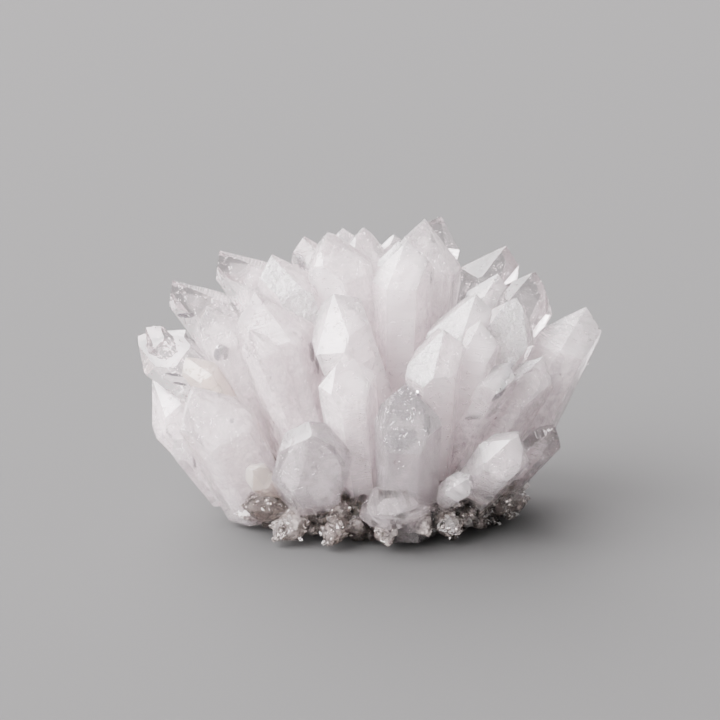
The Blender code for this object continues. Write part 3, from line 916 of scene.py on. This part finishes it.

# %% [markdown]
# ## Veils and gaps
# Where a crystal cracked and healed while it grew, it keeps a curved veil of tiny bubbles and a few thin
# gaps that flash like silver. A veil is a thin lens with the milk mask on it, and a gap is a small flat
# flake. They lie together on the same few planes in each crystal, and never reach its faces. Dark patches of
# painted shade lie close under some faces, each under the face that shows it: they stand in for the shadowed
# slots between crystals and for dark surroundings seen through clear quartz.

# %% Flakes
FLAKE_THINNESS = 0.12
Inclusions = namedtuple("Inclusions", "planes flakes flake_size low high veils")
USUAL = Inclusions(4, 12, 0.7 * MM, 0.35, 0.92, 3)
INCLUSIONS = {
    "left_shoulder": Inclusions(4, 30, 1.3 * MM, 0.60, 0.88, 2),
    "left_clear": Inclusions(3, 16, 1.2 * MM, 0.62, 0.85, 2),
    "far_left": Inclusions(3, 14, 0.9 * MM, 0.55, 0.90, 2),
    "crown_left": Inclusions(3, 14, 1.0 * MM, 0.75, 0.92, 2),
    "right_clear": Inclusions(4, 12, 1.1 * MM, 0.65, 0.92, 3),
    "right_streaked": Inclusions(2, 26, 1.2 * MM, 0.35, 0.80, 2),
    "right_low": Inclusions(3, 16, 0.8 * MM, 0.40, 0.85, 2),
    "front_left": Inclusions(3, 12, 0.8 * MM, 0.45, 0.90, 2),
    "far_right": Inclusions(3, 10, 0.8 * MM, 0.50, 0.92, 2),
    "front_clear": Inclusions(2, 10, 0.6 * MM, 0.15, 0.50, 1),
    "front_round": Inclusions(2, 8, 0.6 * MM, 0.20, 0.60, 1),
    "right_spire": Inclusions(3, 10, 0.9 * MM, 0.55, 0.90, 2),
}


# %% Veils and gaps in each crystal
KEEP_INSIDE = 0.5 * MM
VEIL_THICKNESS = 0.03 * MM
VEIL_CORNERS = 16
MIN_VEIL = 2.0 * MM
NEAR_FACE = 0.5
FACE_REACH = 0.46
UNDER_FACE = 1.3 * MM
NEAR_TILT = 0.3
DEEP_REACH = (0.05, 0.28)
# In widths of the crystal: the largest radius of a veil, and how far the flakes of a crack spread.
VEIL_REACH = 0.32
FLAKE_SPREAD = 0.35
FLAKES_OUTWARD = 0.7
VEIL_BEND = 0.15
FLAKE_TILT = 0.35
FLAKE_SIZES = (0.3, 1.0)
FLAKE_CORNERS = (4, 5, 6)


def crack_inside(crystal, low, high, grain):
    """The middle and the normal of a healed crack, some deep and some close under a side face."""
    middle = crystal.root.lerp(crystal.tip, grain.uniform(low, high))
    side = crystal.outward(grain.uniform(0, math.tau))
    if grain.random() < NEAR_FACE:
        under_face = crystal.width * FACE_REACH - UNDER_FACE
        return middle + side * under_face, (side + any_way(grain) * NEAR_TILT).normalized()
    return middle + side * crystal.width * grain.uniform(*DEEP_REACH), any_way(grain)


def include(crystal, gaps, veils):
    grain = random.Random(crystal.name + " gaps")
    wanted = INCLUSIONS.get(crystal.name, USUAL)
    for number in range(wanted.planes):
        middle, normal = crack_inside(crystal, wanted.low, wanted.high, grain)
        across = normal.orthogonal().normalized()
        along = normal.cross(across)
        for _ in range(wanted.flakes):
            angle = grain.uniform(0, math.tau)
            away = crystal.width * FLAKE_SPREAD * grain.random() ** FLAKES_OUTWARD
            place = middle + (across * math.cos(angle) + along * math.sin(angle)) * away
            size = wanted.flake_size * grain.uniform(*FLAKE_SIZES)
            if crystal.depth(place) < KEEP_INSIDE + size:
                continue
            tilted = (normal + any_way(grain) * FLAKE_TILT).normalized()
            add_lens(gaps, place, tilted, size, size * FLAKE_THINNESS, grain.choice(FLAKE_CORNERS), grain)
        radius = min(crystal.width * VEIL_REACH, crystal.depth(middle) - KEEP_INSIDE)
        if number < wanted.veils and radius > MIN_VEIL:
            add_lens(veils, middle, normal, radius, VEIL_THICKNESS, VEIL_CORNERS, grain, VEIL_BEND)


# %% Painted shade under the faces
# across, up: where a dark patch of painted shade is seen, in mm from the middle of the base.
# half_length, half_width, half_depth: its half-axes in mm.
# lean: degrees from upright, to the right.
# depth: how far it lies below the face, in mm.
# flakes: how many silvery flakes lie in it.
Smoke = namedtuple("Smoke", "across up half_length half_width lean depth half_depth flakes")
SHADE_PATCHES = [Smoke(*row) for row in (
    (12, 25, 5.5, 4.0, 80, 3.5, 1.6, 4),
    (12, 24, 4.5, 3.2, 80, 2.0, 0.8, 0),
    (21.5, 31, 4.5, 1.6, 4, 1.4, 0.6, 3),
    (14, 37, 6.0, 4.5, 10, 4.0, 1.2, 6),
    (-18.5, 54.5, 3.4, 1.8, -24, 0.6, 0.35, 6),
    (-16.5, 50.0, 3.2, 1.3, -24, 0.6, 0.35, 5),
    (49.3, 49.4, 3.2, 1.0, 19, 0.5, 0.35, 4),
    (47.6, 44.6, 3.2, 1.3, 19, 0.5, 0.35, 4),
    (45.8, 39.7, 3.4, 1.8, 19, 0.5, 0.35, 5),
    (44.0, 34.5, 3.2, 1.2, 19, 0.5, 0.35, 4),
    (36.7, 32, 3.0, 0.8, 70, 0.6, 0.35, 4),
    (-62, 67, 3.4, 1.0, 75, 0.6, 0.35, 4),
    (-49.5, 54, 3.0, 2.6, 20, 0.7, 0.4, 14),
    (-65.5, 46.6, 4.0, 0.7, 80, 0.6, 0.3, 3),
    (-64, 43.5, 2.6, 0.6, 84, 0.6, 0.3, 2),
    (-22.6, 85, 2.8, 2.2, 0, 0.9, 0.5, 8),
    (22.6, 80, 2.5, 0.9, -30, 0.6, 0.35, 3),
    (-46, 31, 0.9, 0.8, 0, 0.6, 0.3, 0),
    (-58.7, 16.8, 3.2, 0.6, -25, 0.6, 0.3, 2),
    (30, 78, 3.4, 0.7, -20, 0.6, 0.3, 3),
)]
FLAKE_IN_SHADE_PATCH = (0.25 * MM, 0.7 * MM)
SHADE_PATCH_FLAKE_TILT = 0.8
SKIN_TREE = BVHTree.FromObject(skin, bpy.context.evaluated_depsgraph_get())


def add_shade_patch(smoke, patches, gaps):
    """Looks from the viewer's place for the face that shows the patch of painted shade, and lays the patch
    under it.
    """
    seen = OFFSET + (SEEN_ACROSS * smoke.across + SEEN_UP * smoke.up) * MM
    hit, normal, _, _ = SKIN_TREE.ray_cast(EYE, (seen - EYE).normalized())
    lean = math.radians(smoke.lean)
    lengthwise = SEEN_UP * math.cos(lean) + SEEN_ACROSS * math.sin(lean)
    along = (lengthwise - normal * lengthwise.dot(normal)).normalized()
    across = normal.cross(along)
    middle = hit - normal * smoke.depth * MM - OFFSET
    axes = [across * smoke.half_width * MM, along * smoke.half_length * MM, normal * smoke.half_depth * MM]
    turn = Matrix([[axis[row] for axis in axes] + [middle[row]] for row in range(3)] + [[0, 0, 0, 1]])
    bmesh.ops.create_icosphere(patches, subdivisions=3, radius=1.0, matrix=turn)
    grain = random.Random(f"smoke {smoke.across} {smoke.up}")
    for _ in range(smoke.flakes):
        place = middle + axes[0] * grain.uniform(-1, 1) + axes[1] * grain.uniform(-1, 1)
        size = grain.uniform(*FLAKE_IN_SHADE_PATCH)
        tilted = (normal + any_way(grain) * SHADE_PATCH_FLAKE_TILT).normalized()
        add_lens(gaps, place, tilted, size, size * FLAKE_THINNESS, grain.choice(FLAKE_CORNERS), grain)


# %% Veils, gaps and painted shade, as pieces
gaps_bm, veils_bm, shade_bm = bmesh.new(), bmesh.new(), bmesh.new()
for crystal in crystals:
    include(crystal, gaps_bm, veils_bm)
for smoke in SHADE_PATCHES:
    add_shade_patch(smoke, shade_bm, gaps_bm)
for bm in (veils_bm, shade_bm):
    hazy, = number_layers(bm.verts.layers, "haze")
    for vert in bm.verts:
        vert[hazy] = 1.0
for bm, name, finish in (
    (gaps_bm, "gaps_in_crystals", GAP),
    (veils_bm, "veils_in_crystals", CLOUDS["veil"]),
    # the dark patches: painted shade, drawn as dark cloud
    (shade_bm, "smoke_in_crystals", CLOUDS["smoke"]),
):
    bmesh.ops.recalc_face_normals(bm, faces=bm.faces)
    kept_piece(bm, name, [finish])

# %% [markdown]
# ## The plate of rock
# The crystals grow from a low plate of brown-grey rock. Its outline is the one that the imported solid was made
# from, in many more rings, pressed in and roughened. It lies inside the solid's own skin, which becomes the
# druse below.

# %% Plate
PLATE_OUTLINE = (
    (36 * MM, 0),
    (41 * MM, 2.5 * MM),
    (45 * MM, 6 * MM),
    (47 * MM, 10 * MM),
    (45 * MM, 14 * MM),
    (36 * MM, 17.5 * MM),
    (18 * MM, 19 * MM),
)
PLATE_WIDEST = PLATE_OUTLINE[3]
PLATE_TOP = PLATE_OUTLINE[-1][1]
PLATE_MIDDLE = Vector((4 * MM, 0, 0))
PLATE_DEPTH_SHARE = 0.9
PLATE_LUMP = 2.2 * MM
PLATE_LUMP_SIZE = 14 * MM
ROCK_RINGS = 40
ROCK_SEGMENTS = 240
ROCK_INSET = 0.5 * MM
ROCK_GRAIN = (3.0 * MM, 0.8 * MM)
ROCK_DEPTH = (1.6 * MM, 0.5 * MM)


def plate_radius(height):
    """The plate's radius at a height, read along its outline."""
    for (low_radius, low), (high_radius, high) in zip(PLATE_OUTLINE, PLATE_OUTLINE[1:]):
        if low <= height <= high:
            return low_radius + (high_radius - low_radius) * (height - low) / (high - low)
    return PLATE_OUTLINE[-1][0]


def plate_point(around, height, grow=0.0):
    widest, _ = PLATE_WIDEST
    place = Vector((math.cos(around) * widest, math.sin(around) * widest, height))
    lump = PLATE_LUMP * noise.noise(place / PLATE_LUMP_SIZE)
    reach = plate_radius(height) + lump + grow
    flat = Vector((math.cos(around) * reach, math.sin(around) * reach * PLATE_DEPTH_SHARE, height))
    return PLATE_MIDDLE + flat


def roughness_at(place):
    """How deep the rock is eaten at a place: coarse hollows, and grains in them."""
    deep = 0.0
    for grain, depth in zip(ROCK_GRAIN, ROCK_DEPTH):
        deep += depth * (0.5 + 0.5 * noise.noise(place / grain))
    return deep


def rock_shape():
    bm = bmesh.new()
    rings = []
    for number in range(ROCK_RINGS):
        height = ROCK_INSET + (PLATE_TOP - 2 * ROCK_INSET) * number / (ROCK_RINGS - 1)
        ring = []
        for k in range(ROCK_SEGMENTS):
            around = math.tau * k / ROCK_SEGMENTS
            skin = plate_point(around, height)
            ring.append(bm.verts.new(plate_point(around, height, -ROCK_INSET - roughness_at(skin))))
        rings.append(ring)
    for low, high in zip(rings, rings[1:]):
        for k in range(ROCK_SEGMENTS):
            nxt = (k + 1) % ROCK_SEGMENTS
            bm.faces.new((low[k], low[nxt], high[nxt], high[k]))
    bm.faces.new(list(reversed(rings[0])))
    bm.faces.new(rings[-1])
    return bm


# %% Rock material
# Colours along the rock's speckle, from its dark grains to its pale ones.
ROCK_STOPS = (
    (0.30, (0.07, 0.055, 0.045)),
    (0.48, (0.22, 0.18, 0.15)),
    (0.60, (0.38, 0.33, 0.29)),
    (0.75, (0.62, 0.58, 0.55)),
)
SPECKLE_SCALE = 420.0
# The speckle's range, and the roughness of its dark grains and of its pale ones.
ROCK_SHEEN = (0.35, 0.7, 0.8, 0.35)
GRIT_SCALE = 900.0
GRIT_DEPTH = 0.4 * MM


def rock_material():
    made, tree, shader = new_material("rock")
    place = tree.place()
    speckle = tree.noise(place, SPECKLE_SCALE, 6, 0.7)
    ramp = tree.nodes.new("ShaderNodeValToRGB")
    first, last = ramp.color_ramp.elements
    first.position, first.color = ROCK_STOPS[0][0], (*ROCK_STOPS[0][1], 1)
    last.position, last.color = ROCK_STOPS[-1][0], (*ROCK_STOPS[-1][1], 1)
    for position, colour in ROCK_STOPS[1:-1]:
        ramp.color_ramp.elements.new(position).color = (*colour, 1)
    tree.links.new(speckle, ramp.inputs["Fac"])
    tree.links.new(ramp.outputs["Color"], shader.inputs["Base Color"])
    tree.links.new(tree.spread(speckle, *ROCK_SHEEN), shader.inputs["Roughness"])
    grit = tree.noise(place, GRIT_SCALE, 5, 0.7)
    tree.links.new(tree.bump(grit, GRIT_DEPTH), shader.inputs["Normal"])
    return made


kept_piece(rock_shape(), "rock_plate", [rock_material()])

# %% [markdown]
# ## The druse
# A crust of small crystals covers the rim of the rock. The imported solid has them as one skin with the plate,
# so a copy of it in clear grey quartz goes over the rock. Milk goes into each of its crystals, and hundreds
# of tiny points fill the places between them.

# %% The druse's own crystals
DruseRow = namedtuple("DruseRow", "name count height rise length width")
DRUSE_ROWS = (
    DruseRow("druse_low", 40, 4.0 * MM, -8, 7.0 * MM, 5.0 * MM),
    DruseRow("druse_middle", 34, 8.5 * MM, 6, 8.5 * MM, 6.5 * MM),
    DruseRow("druse_high", 28, 13.5 * MM, 24, 8.5 * MM, 6.5 * MM),
)
DRUSE_TIPS = (
    (-31, -46, 3.5, 10),
    (-41, -39, 13, 9),
    (51, -17, 8, 8),
    (36, -38, 6, 5),
    (54, -5, 9, 5),
    (31, -45, 5, 8),
    (21, -50, 6, 9),
    (7, -53, 4, 7),
    (-13, -52, 4, 8),
    (-44, -28, 7, 7),
)
DRUSE_ROOT_DEPTH = 4 * MM
DRUSE_TIP_ROOT = 0.7
# How uneven the druse is: shares of the step round the rim, degrees of rise and turn, mm of height, and
# shares of length and width. Then the roll, lead and chisel of the listed tips.
DRUSE_STEP_SCATTER = 0.35
DRUSE_RISE_SCATTER = 16
DRUSE_TURN_SCATTER = 22
DRUSE_HEIGHT_SCATTER = 1.2
DRUSE_LENGTH_SPREAD = (0.6, 1.25)
DRUSE_WIDTH_SPREAD = (0.65, 1.3)
DRUSE_CHISEL = 0.2
DRUSE_TIP_HABIT = (10, 0, 0.3)


def druse_crystals():
    made = []
    for row in DRUSE_ROWS:
        grain = random.Random(row.name)
        for k in range(row.count):
            step = grain.uniform(-DRUSE_STEP_SCATTER, DRUSE_STEP_SCATTER)
            around = math.tau * (k + step) / row.count
            rise = math.radians(row.rise + grain.uniform(-DRUSE_RISE_SCATTER, DRUSE_RISE_SCATTER))
            height = row.height + grain.uniform(-DRUSE_HEIGHT_SCATTER, DRUSE_HEIGHT_SCATTER) * MM
            skin_place = plate_point(around, height)
            turn = math.radians(grain.uniform(-DRUSE_TURN_SCATTER, DRUSE_TURN_SCATTER))
            heading = heading_of(around + turn, rise)
            length = row.length * grain.uniform(*DRUSE_LENGTH_SPREAD)
            width = row.width * grain.uniform(*DRUSE_WIDTH_SPREAD)
            root = skin_place - heading * DRUSE_ROOT_DEPTH
            roll, lead = grain.uniform(0, 360 / SIDES), grain.uniform(0, 360)
            tip = skin_place + heading * length
            made.append(Crystal(f"{row.name}_{k + 1}", root, tip, width, roll, lead, DRUSE_CHISEL))
    for number, (x, y, z, width) in enumerate(DRUSE_TIPS):
        tip = Vector((x, y, z)) * MM
        root = PLATE_MIDDLE + (tip - PLATE_MIDDLE) * DRUSE_TIP_ROOT
        root.z = PLATE_WIDEST[1]
        made.append(Crystal(f"druse_tip_{number + 1}", root, tip, width * MM, *DRUSE_TIP_HABIT))
    return made


druse_skin_bm = bmesh.new()
druse_skin_bm.from_mesh(MATRIX.data)
druse = kept_piece(druse_skin_bm, "druse_crystals", [SKINS["druse"]], shift=Vector())
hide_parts("matrix")

# %% Milk in the druse
DRUSE_CLOUD_INSET = 0.9 * MM
druse_clouds = bmesh.new()
for crystal in druse_crystals():
    if DRUSE_CLOUD_INSET < WIDEST_INSET * crystal.width:
        shape = crystal.solid(-DRUSE_CLOUD_INSET)
        cut_finer(shape, CLOUD_GRAIN)
        store_cloud_values(shape, crystal, 1.0)
        add_into(druse_clouds, shape)
kept_piece(druse_clouds, "milk_in_druse", [CLOUDS["cloud_druse"]])

# %% Tiny points
TINY_COUNT = 1300
TINY_LENGTH = (2.0 * MM, 6.0 * MM)
TINY_WIDTH = (1.4 * MM, 3.4 * MM)
TINY_HEIGHT = (1.5 * MM, 17.5 * MM)
TINY_POINT = 0.55
TINY_LEAST_PRISM = 0.2
TINY_SKEW = 0.15
TINY_ROOT = 1.2 * MM
TINY_LEVEL = 8
TINY_FAN = 5
TINY_SCATTER = 0.7
TINY_CLEARANCE = 0.6 * MM
SOWN_COUNT = 900
SOWN_LENGTH = (1.0 * MM, 2.8 * MM)
SOWN_WIDTH = (1.0 * MM, 2.4 * MM)
SOWN_OUTSIDE = 40 * MM
SOWN_ABOVE = 2 * MM
SOWN_FACING = -0.6


def add_point(bm, foot, heading, length, width, grain):
    """A six-sided prism with a six-sided point: its foot ring, its shoulder ring and its tip."""
    across = heading.orthogonal().normalized()
    along = heading.cross(across)
    turn = grain.uniform(0, math.pi)
    shoulder = length - width * TINY_POINT
    rings = []
    for rise in (0.0, max(shoulder, TINY_LEAST_PRISM * length)):
        ring = []
        for k in range(SIDES):
            angle = turn + k * math.tau / SIDES
            flat = (across * math.cos(angle) + along * math.sin(angle)) * width / 2
            ring.append(bm.verts.new(foot + flat + heading * rise))
        rings.append(ring)
    tip = bm.verts.new(foot + heading * length + across * width * grain.uniform(-TINY_SKEW, TINY_SKEW))
    bm.faces.new(list(reversed(rings[0])))
    for k in range(SIDES):
        nxt = (k + 1) % SIDES
        bm.faces.new((rings[0][k], rings[0][nxt], rings[1][nxt], rings[1][k]))
        bm.faces.new((rings[1][k], rings[1][nxt], tip))


def points_from_rock(bm):
    """Points that stand on the plate, down at its foot and up at its crown."""
    grain = random.Random("tiny points")
    for _ in range(TINY_COUNT):
        around = grain.uniform(0, math.tau)
        height = grain.uniform(*TINY_HEIGHT)
        foot = plate_point(around, height, -TINY_ROOT)
        rise = math.radians((height / MM - TINY_LEVEL) * TINY_FAN)
        heading = (heading_of(around, rise) + any_way(grain) * TINY_SCATTER).normalized()
        length, width = grain.uniform(*TINY_LENGTH), grain.uniform(*TINY_WIDTH)
        if min(foot.z, (foot + heading * length).z) > TINY_CLEARANCE + width / 2:
            add_point(bm, foot, heading, length, width, grain)


def points_on_druse(bm):
    """Smaller points, sown on the faces of the druse where it shows."""
    grain = random.Random("sown points")
    source = bmesh.new()
    source.from_mesh(MATRIX.data)
    bmesh.ops.translate(source, vec=-OFFSET, verts=source.verts)
    bmesh.ops.triangulate(source, faces=source.faces)
    faces = []
    for face in source.faces:
        middle = face.calc_center_median() - PLATE_MIDDLE
        reach = math.hypot(middle.x, middle.y / PLATE_DEPTH_SHARE)
        if reach > SOWN_OUTSIDE and middle.z > SOWN_ABOVE and face.normal.z > SOWN_FACING:
            faces.append(face)
    areas = [face.calc_area() for face in faces]
    for face in grain.choices(faces, areas, k=SOWN_COUNT):
        heading = (face.normal + any_way(grain) * TINY_SCATTER).normalized()
        length, width = grain.uniform(*SOWN_LENGTH), grain.uniform(*SOWN_WIDTH)
        foot = place_on(face, grain) - heading * width / 2
        if min(foot.z, (foot + heading * length).z) > TINY_CLEARANCE + width / 2:
            add_point(bm, foot, heading, length, width, grain)
    source.free()


tiny_bm = bmesh.new()
points_from_rock(tiny_bm)
points_on_druse(tiny_bm)
kept_piece(tiny_bm, "tiny_points", [SKINS["druse"]])

# %% [markdown]
# ## Floor and light
# A pale floor and soft light. The key comes from the upper left, a second soft light from behind it makes the
# clear tips glow, and the right side is left a little greyer.

# %% Stage
FLOOR_SIZE = 6.0
FLOOR_COLOUR = (0.0182, 0.0190, 0.0187, 1)


def plain_floor():
    bm = bmesh.new()
    bmesh.ops.create_grid(bm, x_segments=1, y_segments=1, size=FLOOR_SIZE / 2)
    floor = new_piece(bm, "floor")
    made, _, shader = new_material("floor")
    set_plain(shader, {"Base Color": FLOOR_COLOUR, "Roughness": 0.9})
    floor.data.materials.append(made)


plain_floor()

# %% [markdown]
# The light is painted into the sky: a broad soft box at the upper left, a second one behind on the left that
# makes the clear tips glow, and a weak one at the right, over an even grey. Light boxes that are part of the
# sky are large and not too bright each, which suits glass: light that finds its way into a crystal and out
# again meets them often, so the picture stays clean. They also never stand in the way of a view.

# %% Sky
SKY_LEVEL = 1.4
SKY_COLOUR = (1.0, 0.965, 0.970)
# Each soft box: the way to it, the cosine where it starts and where it is full, its brightness and colour.
SoftBox = namedtuple("SoftBox", "way edge full strength colour")
SOFT_BOXES = (
    SoftBox((-0.75, -0.42, 0.52), 0.70, 0.88, 36.0, (1.0, 0.952, 0.970)),
    SoftBox((-0.45, 0.72, 0.50), 0.74, 0.92, 14.0, (1.0, 0.952, 0.970)),
    SoftBox((0.88, -0.30, 0.38), 0.86, 0.96, 1.6, (1.0, 0.97, 0.955)),
)


def studio_sky():
    world = bpy.data.worlds.new("studio")
    bpy.context.scene.world = world
    world.use_nodes = True
    tree = Tree(world.node_tree)
    nodes, links = tree.nodes, tree.links
    background = nodes["Background"]
    background.inputs["Strength"].default_value = 1.0
    way = nodes.new("ShaderNodeTexCoord").outputs["Generated"]
    total = None
    for box in SOFT_BOXES:
        toward = nodes.new("ShaderNodeVectorMath")
        toward.operation = "DOT_PRODUCT"
        links.new(way, toward.inputs[0])
        toward.inputs[1].default_value = Vector(box.way).normalized()
        glow = tree.spread(toward.outputs["Value"], box.edge, box.full, 0.0, box.strength)
        colour = nodes.new("ShaderNodeVectorMath")
        colour.operation = "SCALE"
        colour.inputs[0].default_value = box.colour
        links.new(glow, colour.inputs["Scale"])
        added = nodes.new("ShaderNodeVectorMath")
        links.new(colour.outputs[0], added.inputs[0])
        if total is None:
            added.inputs[1].default_value = Vector(SKY_COLOUR) * SKY_LEVEL
        else:
            links.new(total, added.inputs[1])
        total = added.outputs[0]
    links.new(total, background.inputs["Color"])


studio_sky()
scene = bpy.context.scene
scene.cycles.transparent_max_bounces = 24
scene.cycles.max_bounces = 16
scene.cycles.transmission_bounces = 14
scene.cycles.diffuse_bounces = 10
scene.cycles.glossy_bounces = 8
